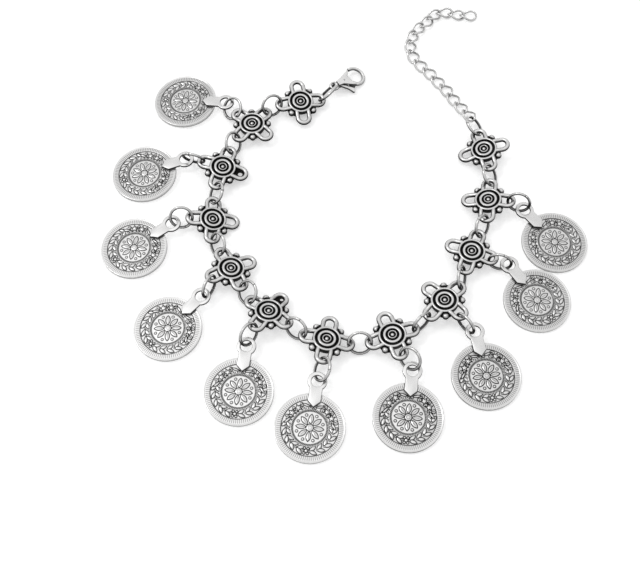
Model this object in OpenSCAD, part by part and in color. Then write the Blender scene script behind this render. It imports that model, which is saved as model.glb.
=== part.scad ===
// Coin-drop anklet in antique silver, laid open in a curve as worn.
// Round cast connectors are strung together by jump rings, ten struck coins
// hang outside them, and a hook clasp and an extender chain end the string.

/* [Coin drops] */
// Diameter of each coin
coin_d = 17; // [16:0.1:17.2]
// Thickness of each coin at its rim
coin_t = 1; // [0.9:0.05:1.2]
// Width of the plain rim round a coin
coin_rim = 0.5; // [0.3:0.05:0.6]
// Height of the struck relief above the field
relief_h = 0.16; // [0.1:0.02:0.2]
// Distance from a coin's centre to the centre of its bail eye
bail_reach = 11.45; // [11.3:0.05:11.6]
// Outer diameter of the bail eye
eye_d = 4.75; // [4.6:0.05:4.9]
// Diameter of the hole in the bail eye
eye_hole_d = 2.9; // [2.7:0.05:3]
// Width of the bail strap soldered on the coin
strap_w = 3.1; // [2.6:0.1:3.4]
// Thickness of the bail strap
strap_t = 0.7; // [0.5:0.05:0.8]

/* [Connectors] */
// Diameter of the bull's-eye disc
disc_d = 7.1; // [6.8:0.1:7.2]
// Height of the disc above the plane of its loops
disc_top = 0.9; // [0.8:0.05:1]
// Depth of the disc below the plane of its loops
disc_base = 0.8; // [0.6:0.05:0.9]
// Distance from the centre to the outside of a loop
loop_reach = 7.1; // [7:0.02:7.14]
// Width of a loop over its wire
loop_w = 4.4; // [4.3:0.02:4.44]
// Diameter of the wire of a loop
loop_wire = 1.2; // [1.1:0.02:1.2]
// Diameter of the balls between the loops
ball_d = 1.7; // [1.5:0.05:1.8]

/* [Jump rings] */
// Outer diameter of a jump ring
ring_d = 6.46; // [6.4:0.02:6.5]
// Diameter of the wire of a jump ring
ring_wire = 0.76; // [0.7:0.02:0.78]
// Outer diameter of the ring that holds the clasp
clasp_ring_d = 7.1; // [7.08:0.02:7.14]
// Width of the cut where a ring was closed
ring_cut = 0.1; // [0.05:0.01:0.15]

/* [Clasp] */
// Outer diameter of the claw of the clasp
claw_d = 6.2; // [6.1:0.02:6.3]
// Diameter of the wire of the claw
claw_wire = 1.04; // [0.9:0.02:1.06]
// Distance from the tail eye to the centre of the claw
claw_reach = 7.5; // [7.45:0.05:7.6]
// Outer diameter of the tail eye
tail_d = 2.9; // [2.8:0.05:3]
// Diameter of the wire of the tail eye
tail_wire = 0.7; // [0.6:0.05:0.75]
// Thickness of the clasp over its two cheeks
clasp_t = 2.2; // [2:0.1:2.4]
// Height of the slot between the cheeks
slot_h = 1; // [0.95:0.05:1.1]
// Thickness of the lever in the slot
lever_t = 0.8; // [0.7:0.05:0.8]
// Diameter of the pivot pin
pin_d = 0.6; // [0.5:0.05:0.6]
// Running clearance of the lever on its pin, on the radius
pin_play = 0.06; // [0.03:0.01:0.08]

/* [Extender chain] */
// Outside length of a chain link
link_l = 5.2; // [5.1:0.05:5.3]
// Outside width of a chain link
link_w = 3.66; // [3.6:0.02:3.7]
// Diameter of the wire of a chain link
link_wire = 0.62; // [0.56:0.02:0.64]
// Twist of each end of a link, in degrees
link_twist = 44; // [42:1:46]

/* [Hidden] */
silver = [0.78, 0.78, 0.76];
round_fn = 48;
ring_fn = 72;

// The layout is measured from one point on the table inside the curve.
// This is where the middle of the whole piece lies from that point.
middle = [6.35, 23.55];

// Each coin leans on the outer edge of its rim, with its bail end up.
coin_tilt = 3.1;
coin_r = coin_d / 2;
edge_cut = 0.1;
coin_lift = (coin_r - edge_cut) * sin(coin_tilt);
field_z = coin_t - relief_h;

// Middle of each coin on the table and the heading of its bail.
coin_x = 0;
coin_y = 1;
coin_heading = 2;
coin_rows = [
  // x, y, heading
  [-37.4, 58.4, -7],
  [-46.9, 34.5, 19],
  [-47.8, 11.8, 35],
  [-37.6, -10.9, 46],
  [-19.5, -27.5, 82],
  [-2.4, -36.6, 81],
  [20.9, -34.0, 83],
  [40.2, -23.5, 101],
  [54.4, -3.2, 124],
  [60.5, 13.5, 129],
];

// Middle of each connector, how far its face leans along X and Y, and how
// far it is turned. Loop 0 of a connector points along its turn and the
// next loops follow anticlockwise.
con_x = 0;
con_y = 1;
con_z = 2;
con_lean_x = 3;
con_lean_y = 4;
con_turn = 5;
con_rows = [
  // x, y, z, lean x, lean y, turn
  [-5.4, 57.1, 2.3, 5, -6, 11],
  [-18.5, 49.3, 2.7, 1, 1, 49],
  [-25.9, 35.1, 3.0, 7, -2, -17],
  [-27.9, 19.5, 2.2, 14, 0, 1],
  [-22.5, 4.7, 2.9, 8, 6, 29],
  [-12.7, -7.5, 3.4, 5, 12, 55],
  [1.6, -14.8, 3.0, 6, 9, -10],
  [17.7, -13.7, 3.0, -4, 4, 19],
  [30.9, -4.5, 3.5, -4, 3, 45],
  [38.6, 9.6, 3.0, -2, 2, -22],
  [44.0, 24.9, 3.0, -11, 5, -9],
  [44.1, 41.0, 2.7, -12, 0, 12],
];

// Rings between two connectors. Roll turns a ring about the line that it
// spans, and lift and sway move it across that line.
ring_roll = 4;
ring_lift = 5;
ring_sway = 6;
ring_rows = [
  // connector, loop, next connector, loop, roll, lift, sway
  [1, 2, 2, 0, -63, 0.9, 0.4],
  [2, 2, 3, 1, -60, 0.3, 0.1],
  [3, 3, 4, 1, 50, 0.3, -0.6],
  [4, 3, 5, 1, 56, 0.3, -0.5],
  [5, 3, 6, 1, 45, 0.3, -0.6],
  [6, 3, 7, 2, 60, 0.2, -0.3],
  [7, 0, 8, 2, 50, 0, -0.3],
  [8, 0, 9, 2, 82, -0.1, -0.1],
  [9, 0, 10, 3, 69, 0.2, -0.2],
  [10, 1, 11, 3, 62, 0.1, -0.1],
  [11, 1, 12, 3, 48, 0, -0.1],
];

// Rings between a connector and a coin, one row for each coin.
drop_roll = 2;
drop_lift = 3;
drop_sway = 4;
drop_rows = [
  // connector, loop, roll, lift, sway
  [2, 1, -42, 0, 0.2],
  [3, 2, 76, 0.9, 0],
  [4, 2, -55, 0.6, 0.5],
  [5, 2, -82, 0, -0.8],
  [6, 2, -65, 0.4, 0.5],
  [7, 3, 48, 0.3, -0.5],
  [8, 3, 58, 0.9, -1.1],
  [9, 3, -91, -0.1, 0.6],
  [10, 0, 81, 0.3, 0.3],
  [11, 0, 71, 0.9, -0.4],
];

// Rings at the two ends of the string: roll, lift and sway of each.
clasp_ring_pose = [-54, 0.8, 0.3];
chain_ring_pose = [42, 0.2, -0.4];

// The clasp leans on its claw, with the tail eye held up by its ring.
clasp_eye = [4.0, 62.35, 2.8];
clasp_heading = 36;
clasp_dip = 12;
clasp_roll = 12;

// Middle of each chain link, from the ring on the string, where the chain
// comes down to the table, to its loose end.
link_rows = [
  // x, y, z
  [40.9, 52.9, 2.2],
  [39.0, 56.1, 1.4],
  [37.1, 59.3, 1.0],
  [35.3, 62.5, 0.9],
  [33.1, 65.4, 0.9],
  [30.9, 68.4, 0.9],
  [28.5, 71.2, 0.9],
  [26.6, 74.4, 0.9],
  [26.0, 77.9, 0.9],
  [26.7, 81.3, 0.9],
  [28.5, 84.3, 0.9],
  [31.0, 86.8, 0.9],
  [33.2, 89.4, 0.9],
  [36.4, 90.4, 0.9],
  [39.8, 89.7, 0.9],
  [43.3, 89.4, 0.9],
];

coin_count = len(coin_rows);
con_count = len(con_rows);
ring_count = len(ring_rows);
link_count = len(link_rows);

function unit(v) = v / norm(v);
function flat(heading) = [cos(heading), sin(heading), 0];

// The face of a connector and the direction of its loop 0.
function con_centre(row) = [row[con_x], row[con_y], row[con_z]];
function con_normal(row) = unit([tan(row[con_lean_x]), tan(row[con_lean_y]), 1]);
function con_along(row) =
  let (n = con_normal(row), h = flat(row[con_turn]))
  unit(h - n * (h * n));

// A point inside the tip of a loop, where a ring bears on the wire.
loop_seat = loop_reach - loop_wire;
function loop_point(number, loop) =
  let (
    row = con_rows[number - 1],
    n = con_normal(row),
    u = con_along(row),
    v = cross(n, u)
  )
  con_centre(row) + loop_seat * (u * cos(90 * loop) + v * sin(90 * loop));

// The middle of a coin's bail eye, and the place in it where a ring bears.
eye_seat = eye_hole_d / 2 - 0.5;
function coin_base(row) = [row[coin_x], row[coin_y], coin_lift];
function bail_point(row) =
  let (
    u = flat(row[coin_heading]) * cos(coin_tilt) + [0, 0, sin(coin_tilt)],
    n = [0, 0, cos(coin_tilt)] - flat(row[coin_heading]) * sin(coin_tilt)
  )
  coin_base(row) + u * bail_reach + n * (coin_t + strap_t / 2);
function bearing_towards(point, other, depth) = point + unit(other - point) * depth;

// The face and the middle of a ring that spans from a to b.
function span_up(a, b) =
  let (along = unit(b - a), side = unit(cross(along, [0, 0, 1])))
  cross(side, along);
function span_side(a, b) = unit(cross(b - a, [0, 0, 1]));
function ring_normal(a, b, roll) = span_up(a, b) * cos(roll) + span_side(a, b) * sin(roll);
function ring_centre(a, b, lift, sway) =
  (a + b) / 2 + span_up(a, b) * lift + span_side(a, b) * sway;

// A chain link points along the line between its two neighbours.
function link_along(i) =
  unit(link_rows[min(link_count - 1, i + 1)] - link_rows[max(0, i - 1)]);
function link_normal(i) =
  let (u = link_along(i))
  unit([0, 0, 1] - u * u[2]);

// Moves its children into a frame with X along u and Z along n.
module set_in(centre, u, n) {
  v = cross(n, u);
  multmatrix([
    [u[0], v[0], n[0], centre[0]],
    [u[1], v[1], n[1], centre[1]],
    [u[2], v[2], n[2], centre[2]],
  ])
    children();
}

module on_table() {
  translate([-middle[0], -middle[1], 0])
    children();
}

// Connector: a bull's-eye disc with four wire loops and four balls.
ball_reach = 4.32;
leg_offset = (loop_w - loop_wire) / 2;
bend_reach = loop_reach - loop_wire / 2 - leg_offset;
leg_root = 2.6;
web_w = 0.9;
web_t = 0.7;
// Depth of the grooves between the rings of the disc, and the small ball
// in its middle.
groove = 0.5;
boss_r = 0.56;

module disc_profile() {
  r = disc_d / 2;
  top = disc_top;
  polygon([
    [0, -disc_base],
    [r - 0.25, -disc_base],
    [r, -disc_base + 0.25],
    [r, top - 0.3],
    [3.35, top],
    [2.95, top],
    [2.8, top - groove],
    [2.4, top - groove],
    [2.25, top],
    [1.65, top],
    [1.5, top - groove],
    [1.25, top - groove],
    [1.1, top],
    [0.85, top],
    [0.75, top - groove],
    [0, top - groove],
  ]);
}

module wire_loop() {
  translate([bend_reach, 0, 0])
    rotate([0, 0, -90])
      rotate_extrude(angle = 180, $fn = ring_fn)
        translate([leg_offset, 0])
          circle(d = loop_wire, $fn = round_fn);
  for (side = [-1, 1])
    translate([leg_root, side * leg_offset, 0])
      rotate([0, 90, 0])
        cylinder(d = loop_wire, h = bend_reach - leg_root, $fn = round_fn);
}

module connector(number) {
  row = con_rows[number - 1];
  color(silver)
    on_table()
      set_in(con_centre(row), con_along(row), con_normal(row))
        union() {
          rotate_extrude($fn = ring_fn)
            disc_profile();
          translate([0, 0, disc_top - boss_r])
            sphere(r = boss_r, $fn = 32);
          for (quarter = [0:3])
            rotate([0, 0, 90 * quarter]) {
              wire_loop();
              rotate([0, 0, 45]) {
                translate([ball_reach, 0, 0])
                  sphere(d = ball_d, $fn = 32);
                translate([leg_root, -web_w / 2, -web_t / 2])
                  cube([ball_reach - leg_root, web_w, web_t]);
              }
            }
        }
}

// A round wire ring with a fine cut on one side.
module wire_ring(outer_d, wire_d) {
  r = (outer_d - wire_d) / 2;
  cut = 360 * ring_cut / (2 * PI * r);
  rotate([0, 0, 90 + cut / 2])
    rotate_extrude(angle = 360 - cut, $fn = ring_fn)
      translate([r, 0])
        circle(d = wire_d, $fn = round_fn);
}

module spanning_ring(a, b, roll, lift, sway, outer_d, wire_d) {
  n = ring_normal(a, b, roll);
  along = unit(b - a);
  color(silver)
    on_table()
      set_in(ring_centre(a, b, lift, sway), unit(along - n * (along * n)), n)
        wire_ring(outer_d, wire_d);
}

module jump_ring(number) {
  row = ring_rows[number - 1];
  spanning_ring(
    loop_point(row[0], row[1]),
    loop_point(row[2], row[3]),
    row[ring_roll], row[ring_lift], row[ring_sway],
    ring_d, ring_wire
  );
}

module coin_ring(number) {
  row = drop_rows[number - 1];
  a = loop_point(row[0], row[1]);
  b = bearing_towards(bail_point(coin_rows[number - 1]), a, eye_seat);
  spanning_ring(
    a, b,
    row[drop_roll], row[drop_lift], row[drop_sway],
    ring_d, ring_wire
  );
}

// Coin: rim, field, struck ornament and the bail soldered on its face.
circle_line_r = 6.82;
medallion_r = 4.32;
line_w = 0.24;
leaf_pairs = 5;
leaf_l = 1.7;
leaf_w = 0.75;
leaf_ring_r = 5.6;
leaf_start = 16;
leaf_step = 19;
leaf_shift = 0.42;
leaf_lean = 28;
star_r = 0.75;
star_start = 58;
star_step = 20;
petal_count = 8;
petal_l = 1.9;
petal_w = 0.85;
petal_reach = 2.1;
rosette_r = 0.8;
relief_root = 0.3;

module raised(h) {
  translate([0, 0, field_z - relief_root])
    linear_extrude(relief_root + h)
      children();
}

module line_ring(r, w) {
  difference() {
    circle(r = r + w / 2, $fn = 96);
    circle(r = r - w / 2, $fn = 96);
  }
}

// A pointed leaf along X, where two circles cross.
module leaf(l, w) {
  r = (l * l / 4 + w * w / 4) / w;
  intersection() {
    translate([0, r - w / 2])
      circle(r = r, $fn = 64);
    translate([0, w / 2 - r])
      circle(r = r, $fn = 64);
  }
}

module star(r) {
  polygon([
    for (i = [0:9])
      (i % 2 == 0 ? r : 0.45 * r) * [cos(36 * i), sin(36 * i)],
  ]);
}

module wreath() {
  for (side = [-1, 1], i = [0:leaf_pairs - 1]) {
    angle = 180 + side * (leaf_start + leaf_step * i);
    rotate([0, 0, angle])
      translate([leaf_ring_r, 0])
        for (lean = [-1, 1])
          translate([leaf_shift * lean, 0])
            rotate([0, 0, side * 90 - lean * leaf_lean])
              leaf(leaf_l, leaf_w);
  }
}

module star_pairs() {
  for (side = [-1, 1], i = [0:1])
    rotate([0, 0, side * (star_start - star_step * i)])
      translate([leaf_ring_r, 0])
        star(star_r);
}

module rosette() {
  for (i = [0:petal_count - 1])
    rotate([0, 0, 360 / petal_count * i])
      translate([petal_reach, 0])
        leaf(petal_l, petal_w);
  circle(r = rosette_r, $fn = 32);
}

// The strap reaches over the rim to a blunt point and is sunk a little into
// the coin where it is soldered.
module bail() {
  strap_end = 5.6;
  shoulder = 6.9;
  solder = 0.2;
  overlap = 0.4;
  translate([0, 0, coin_t - solder])
    linear_extrude(strap_t + solder)
      polygon([
        [strap_end, 0],
        [shoulder, -strap_w / 2],
        [coin_r, -strap_w / 2],
        [coin_r, strap_w / 2],
        [shoulder, strap_w / 2],
      ]);
  translate([0, 0, coin_t])
    difference() {
      linear_extrude(strap_t)
        union() {
          translate([coin_r - overlap, -strap_w / 2])
            square([bail_reach - coin_r - 2 * overlap, strap_w]);
          translate([bail_reach, 0])
            circle(d = eye_d, $fn = ring_fn);
        }
      translate([bail_reach, 0, -1])
        cylinder(d = eye_hole_d, h = strap_t + 2, $fn = round_fn);
    }
}

module coin_drop(number) {
  row = coin_rows[number - 1];
  color(silver)
    on_table()
      translate(coin_base(row))
        rotate([0, -coin_tilt, row[coin_heading]])
          union() {
            rotate_extrude($fn = 96)
              polygon([
                [0, 0],
                [coin_r - edge_cut, 0],
                [coin_r, edge_cut],
                [coin_r, coin_t - edge_cut],
                [coin_r - edge_cut, coin_t],
                [coin_r - coin_rim, coin_t],
                [coin_r - coin_rim - edge_cut, field_z],
                [0, field_z],
              ]);
            raised(relief_h) {
              line_ring(circle_line_r, line_w);
              line_ring(medallion_r, line_w);
              wreath();
              star_pairs();
              rosette();
            }
            bail();
          }
}

// Clasp: a tail eye, two cheeks with a slot for the lever, and a claw.
pivot = [3.1, 0.05];
claw_r = (claw_d - claw_wire) / 2;
claw_y = 0.3;
claw_from = -140;
claw_to = 104;
slot_r = 1.85;
hub_d = 1.8;
// Where a ring bears in the tail eye, from its middle.
tail_seat = 0.35;

module cheek_outline() {
  polygon([
    [0.95, -0.75],
    [0.95, 0.75],
    [2.3, 1.15],
    [3.6, 1.35],
    [4.6, 1.2],
    [5.05, 0.5],
    [5.15, -0.4],
    [5.45, -1.1],
    [6.3, -1.9],
    [5.9, -2.55],
    [4.7, -2.05],
    [2.5, -0.85],
  ]);
}

// The gate swings down in the slot, so the slot is open above this line.
module gate_room() {
  polygon([
    [3.1, -0.8],
    [5.4, -1.0],
    [7, 3],
    [3.1, 3],
  ]);
}

module gate_outline() {
  polygon([
    [1.9, 0.2],
    [2.1, 1.0],
    [3.0, 1.5],
    [5.0, 2.35],
    [6.45, 2.9],
    [6.6, 2.55],
    [5.95, 1.9],
    [5.5, 1.2],
    [5.0, 0.4],
    [3.6, -0.6],
  ]);
}

module trigger_outline() {
  polygon([
    [1.75, -0.1],
    [1.65, -0.8],
    [2.4, -1.6],
    [3.2, -2.4],
    [3.75, -3.3],
    [4.05, -4.0],
    [4.4, -4.15],
    [4.85, -3.75],
    [5.1, -3.1],
    [4.5, -2.55],
    [3.85, -2.0],
    [3.6, -1.3],
    [3.6, -0.2],
  ]);
}

module set_clasp() {
  on_table()
    translate(clasp_eye)
      rotate([0, 0, clasp_heading])
        rotate([0, clasp_dip, 0])
          rotate([clasp_roll, 0, 0])
            children();
}

module clasp_body() {
  color(silver)
    set_clasp()
      union() {
        difference() {
          translate([0, 0, -clasp_t / 2])
            linear_extrude(clasp_t)
              cheek_outline();
          translate([pivot[0], pivot[1], 0])
            cylinder(r = slot_r, h = slot_h, center = true, $fn = ring_fn);
          translate([0, 0, -slot_h / 2])
            linear_extrude(slot_h)
              gate_room();
        }
        rotate_extrude($fn = ring_fn)
          translate([(tail_d - tail_wire) / 2, 0])
            circle(d = tail_wire, $fn = round_fn);
        translate([pivot[0], pivot[1], 0])
          cylinder(d = pin_d, h = clasp_t, center = true, $fn = round_fn);
        translate([claw_reach, claw_y, 0])
          rotate([0, 0, claw_from])
            rotate_extrude(angle = claw_to - claw_from, $fn = ring_fn)
              translate([claw_r, 0])
                circle(d = claw_wire, $fn = round_fn);
      }
}

module clasp_lever() {
  color(silver)
    set_clasp()
      translate([0, 0, -lever_t / 2])
        difference() {
          union() {
            translate([pivot[0], pivot[1], 0])
              cylinder(d = hub_d, h = lever_t, $fn = round_fn);
            linear_extrude(lever_t)
              gate_outline();
            linear_extrude(lever_t)
              trigger_outline();
          }
          translate([pivot[0], pivot[1], -1])
            cylinder(r = pin_d / 2 + pin_play, h = lever_t + 2, $fn = round_fn);
        }
}

// Rings that join the string to the clasp and to the extender chain.
module clasp_ring() {
  a = loop_point(1, 0);
  b = bearing_towards(clasp_eye, a, tail_seat);
  pose = clasp_ring_pose;
  spanning_ring(a, b, pose[0], pose[1], pose[2], clasp_ring_d, ring_wire);
}

module chain_ring() {
  a = loop_point(12, 1);
  b = link_rows[0] - link_along(0) * (link_l / 2 - link_wire);
  pose = chain_ring_pose;
  spanning_ring(a, b, pose[0], pose[1], pose[2], ring_d, ring_wire);
}

// Curb link: an oval of wire whose two ends are twisted opposite ways.
link_steps = 16;
wire_sides = 6;
half_l = (link_l - link_wire) / 2;
half_w = (link_w - link_wire) / 2;
function link_path(t) =
  let (twist = link_twist * cos(t), across = half_w * sin(t))
  [half_l * cos(t), across * cos(twist), across * sin(twist)];
function link_tangent(t) = unit(link_path(t + 1) - link_path(t - 1));
function link_corner(t, side) =
  let (
    p = link_path(t),
    ahead = link_tangent(t),
    out = unit(p - ahead * (p * ahead)),
    over = cross(ahead, out),
    angle = 360 / wire_sides * side
  )
  p + link_wire / 2 * (out * cos(angle) + over * sin(angle));

module curb_link() {
  points = [
    for (i = [0:link_steps - 1], j = [0:wire_sides - 1])
      link_corner(360 / link_steps * i, j),
  ];
  function corner(i, j) = (i % link_steps) * wire_sides + (j % wire_sides);
  faces = [
    for (i = [0:link_steps - 1], j = [0:wire_sides - 1])
      each [
        [corner(i, j), corner(i, j + 1), corner(i + 1, j + 1)],
        [corner(i, j), corner(i + 1, j + 1), corner(i + 1, j)],
      ],
  ];
  polyhedron(points, faces);
}

module extender_chain() {
  color(silver)
    on_table()
      for (i = [0:link_count - 1])
        set_in(link_rows[i], link_along(i), link_normal(i))
          curb_link();
}

for (i = [1:con_count])
  connector(i);
for (i = [1:coin_count])
  coin_drop(i);
for (i = [1:ring_count])
  jump_ring(i);
for (i = [1:coin_count])
  coin_ring(i);
clasp_ring();
chain_ring();
clasp_body();
clasp_lever();
extender_chain();
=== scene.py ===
# %% [markdown]
# An anklet in antique silver, laid open on a white table. Twelve cast
# connectors are strung together by jump rings, ten struck coins hang
# outside them, and a hook clasp and an extender chain end the string.
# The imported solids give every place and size. Each piece here is the
# finer form of one node and lies exactly where that node lies.

import math

import bmesh
import bpy
import numpy as np
from mathutils import Matrix, Vector


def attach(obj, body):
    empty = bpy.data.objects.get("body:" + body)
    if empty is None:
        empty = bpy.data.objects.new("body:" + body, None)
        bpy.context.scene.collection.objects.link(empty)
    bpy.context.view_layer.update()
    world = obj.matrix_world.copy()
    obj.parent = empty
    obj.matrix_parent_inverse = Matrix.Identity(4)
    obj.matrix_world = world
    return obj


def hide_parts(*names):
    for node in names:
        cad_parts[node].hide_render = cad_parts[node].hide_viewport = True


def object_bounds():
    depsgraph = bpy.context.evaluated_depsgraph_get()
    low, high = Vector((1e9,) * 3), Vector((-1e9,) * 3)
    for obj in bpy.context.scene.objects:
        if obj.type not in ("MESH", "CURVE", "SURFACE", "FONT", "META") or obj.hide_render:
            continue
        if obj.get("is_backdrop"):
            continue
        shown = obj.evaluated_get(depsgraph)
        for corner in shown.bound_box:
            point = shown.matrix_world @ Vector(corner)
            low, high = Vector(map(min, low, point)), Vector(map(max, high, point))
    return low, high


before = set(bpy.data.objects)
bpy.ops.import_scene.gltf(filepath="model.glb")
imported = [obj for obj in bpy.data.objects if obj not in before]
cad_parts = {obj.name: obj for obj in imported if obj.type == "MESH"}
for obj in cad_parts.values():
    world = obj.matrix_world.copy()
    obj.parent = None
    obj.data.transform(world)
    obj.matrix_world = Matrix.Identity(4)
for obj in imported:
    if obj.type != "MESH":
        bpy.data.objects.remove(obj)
cad_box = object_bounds()
MM = 0.001
print("nodes", len(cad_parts), "box", cad_box)

# %% [markdown]
# The layout. Every row is a piece as it lies, measured in millimetres from
# one point on the table. The same short tables place the solids, so they
# are repeated here with the same names, and the same rules turn a row into
# a place: a connector leans by two angles, a coin leans on its rim, and a
# ring spans from one bearing point to another.

# %% The layout tables
MIDDLE = np.array([6.35, 23.55, 0.0])

COINS = [  # x, y, heading of the bail
    (-37.4, 58.4, -7),
    (-46.9, 34.5, 19),
    (-47.8, 11.8, 35),
    (-37.6, -10.9, 46),
    (-19.5, -27.5, 82),
    (-2.4, -36.6, 81),
    (20.9, -34.0, 83),
    (40.2, -23.5, 101),
    (54.4, -3.2, 124),
    (60.5, 13.5, 129),
]
CONNECTORS = [  # x, y, z, lean x, lean y, turn
    (-5.4, 57.1, 2.3, 5, -6, 11),
    (-18.5, 49.3, 2.7, 1, 1, 49),
    (-25.9, 35.1, 3.0, 7, -2, -17),
    (-27.9, 19.5, 2.2, 14, 0, 1),
    (-22.5, 4.7, 2.9, 8, 6, 29),
    (-12.7, -7.5, 3.4, 5, 12, 55),
    (1.6, -14.8, 3.0, 6, 9, -10),
    (17.7, -13.7, 3.0, -4, 4, 19),
    (30.9, -4.5, 3.5, -4, 3, 45),
    (38.6, 9.6, 3.0, -2, 2, -22),
    (44.0, 24.9, 3.0, -11, 5, -9),
    (44.1, 41.0, 2.7, -12, 0, 12),
]
JUMP_RINGS = [  # connector, loop, next connector, loop, roll, lift, sway
    (1, 2, 2, 0, -63, 0.9, 0.4),
    (2, 2, 3, 1, -60, 0.3, 0.1),
    (3, 3, 4, 1, 50, 0.3, -0.6),
    (4, 3, 5, 1, 56, 0.3, -0.5),
    (5, 3, 6, 1, 45, 0.3, -0.6),
    (6, 3, 7, 2, 60, 0.2, -0.3),
    (7, 0, 8, 2, 50, 0, -0.3),
    (8, 0, 9, 2, 82, -0.1, -0.1),
    (9, 0, 10, 3, 69, 0.2, -0.2),
    (10, 1, 11, 3, 62, 0.1, -0.1),
    (11, 1, 12, 3, 48, 0, -0.1),
]
COIN_RINGS = [  # connector, loop, roll, lift, sway
    (2, 1, -42, 0, 0.2),
    (3, 2, 76, 0.9, 0),
    (4, 2, -55, 0.6, 0.5),
    (5, 2, -82, 0, -0.8),
    (6, 2, -65, 0.4, 0.5),
    (7, 3, 48, 0.3, -0.5),
    (8, 3, 58, 0.9, -1.1),
    (9, 3, -91, -0.1, 0.6),
    (10, 0, 81, 0.3, 0.3),
    (11, 0, 71, 0.9, -0.4),
]
CLASP_RING_POSE = (-54, 0.8, 0.3)
CHAIN_RING_POSE = (42, 0.2, -0.4)
LINKS = [  # x, y, z
    (40.9, 52.9, 2.2),
    (39.0, 56.1, 1.4),
    (37.1, 59.3, 1.0),
    (35.3, 62.5, 0.9),
    (33.1, 65.4, 0.9),
    (30.9, 68.4, 0.9),
    (28.5, 71.2, 0.9),
    (26.6, 74.4, 0.9),
    (26.0, 77.9, 0.9),
    (26.7, 81.3, 0.9),
    (28.5, 84.3, 0.9),
    (31.0, 86.8, 0.9),
    (33.2, 89.4, 0.9),
    (36.4, 90.4, 0.9),
    (39.8, 89.7, 0.9),
    (43.3, 89.4, 0.9),
]
CLASP_EYE = np.array([4.0, 62.35, 2.8])
CLASP_HEADING, CLASP_DIP, CLASP_ROLL = 36, 12, 12
print("rows", len(COINS), len(CONNECTORS), len(JUMP_RINGS), len(COIN_RINGS), len(LINKS))

# %% [markdown]
# The pieces' sizes, in millimetres. The coins are all equal and so are the
# connectors, the rings and the links, so each size is given once.

# %% Sizes
COIN_R, COIN_T, COIN_TILT, EDGE_CUT = 8.5, 1.0, 3.1, 0.1
FIELD = COIN_T - 0.16
BAIL_REACH, EYE_R, EYE_HOLE_R = 11.45, 2.375, 1.45
EYE_SEAT = EYE_HOLE_R - 0.5
STRAP_W, STRAP_T = 3.1, 0.7
DISC_R, DISC_TOP, DISC_BASE = 3.55, 0.9, 0.8
LOOP_REACH, LOOP_W, LOOP_WIRE = 7.1, 4.4, 1.2
BALL_REACH, BALL_R = 4.32, 0.85
RING_D, RING_WIRE, CLASP_RING_D, RING_CUT = 6.46, 0.76, 7.1, 0.1
CLAW_R, CLAW_WIRE, CLAW_REACH, CLAW_Y = 2.58, 1.04, 7.5, 0.3
TAIL_D, TAIL_WIRE, TAIL_SEAT = 2.9, 0.7, 0.35
PIVOT = np.array([3.1, 0.05, 0.0])
CLASP_T, SLOT_H, LEVER_T, PIN_R = 2.2, 1.0, 0.8, 0.3
LINK_L, LINK_W, LINK_WIRE, LINK_TWIST = 5.2, 3.66, 0.62, 44

# Radii on the coin's face, from the medallion out to the lip.
MEDALLION_R, ROPE_R, BAND_R, RING_LINE_R, BORDER_R, LIP_R = 4.1, 4.42, 4.66, 6.84, 6.95, 8.08
print("a coin is %.0f mm across" % (2 * COIN_R))

# %% [markdown]
# Places. A place is a 4 by 4 matrix built from a middle point, the direction
# that the piece's own X axis takes and the direction that it faces. Building
# every place from three vectors keeps the rules readable and gives the same
# result as the solids, with no fitting by eye.

# %% Turn rows into places
def unit(v):
    v = np.asarray(v, float)
    return v / np.linalg.norm(v)


def heading(deg):
    return np.array([math.cos(math.radians(deg)), math.sin(math.radians(deg)), 0.0])


def place(centre, along, face):
    face = unit(face)
    along = unit(np.asarray(along) - face * np.dot(along, face))
    m = np.eye(4)
    m[:3, 0], m[:3, 1], m[:3, 2] = along, np.cross(face, along), face
    m[:3, 3] = np.asarray(centre) - MIDDLE
    return m


def connector_place(row):
    x, y, z, lean_x, lean_y, turn = row
    face = [math.tan(math.radians(lean_x)), math.tan(math.radians(lean_y)), 1.0]
    return place((x, y, z), heading(turn), face)


def coin_place(row):
    x, y, turn = row
    t = math.radians(COIN_TILT)
    lift = (COIN_R - EDGE_CUT) * math.sin(t)
    along = heading(turn) * math.cos(t) + np.array([0, 0, math.sin(t)])
    face = np.array([0, 0, math.cos(t)]) - heading(turn) * math.sin(t)
    return place((x, y, lift), along, face)


print("first coin at", coin_place(COINS[0])[:3, 3].round(2))

# %% [markdown]
# Rings, links and the clasp. A ring's place follows from the two points
# that it bears on, and a link's direction from its neighbours.

# %% Places that follow from others
def spot(m, x, y, z):
    return (m @ np.array([x, y, z, 1.0]))[:3] + MIDDLE


def loop_spot(number, loop):
    a = math.radians(90 * loop)
    r = LOOP_REACH - LOOP_WIRE
    return spot(connector_place(CONNECTORS[number - 1]), r * math.cos(a), r * math.sin(a), 0)


def ring_place(a, b, roll, lift, sway):
    along = unit(b - a)
    side = unit(np.cross(along, [0, 0, 1]))
    up = np.cross(side, along)
    r = math.radians(roll)
    face = up * math.cos(r) + side * math.sin(r)
    return place((a + b) / 2 + up * lift + side * sway, along, face)


def towards(point, other, depth):
    return point + unit(other - point) * depth


def coin_ring_place(number):
    con, loop, roll, lift, sway = COIN_RINGS[number - 1]
    a = loop_spot(con, loop)
    eye = spot(coin_place(COINS[number - 1]), BAIL_REACH, 0, COIN_T + STRAP_T / 2)
    return ring_place(a, towards(eye, a, EYE_SEAT), roll, lift, sway)


def link_along(i):
    p = np.array(LINKS)
    return unit(p[min(len(p) - 1, i + 1)] - p[max(0, i - 1)])


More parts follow.
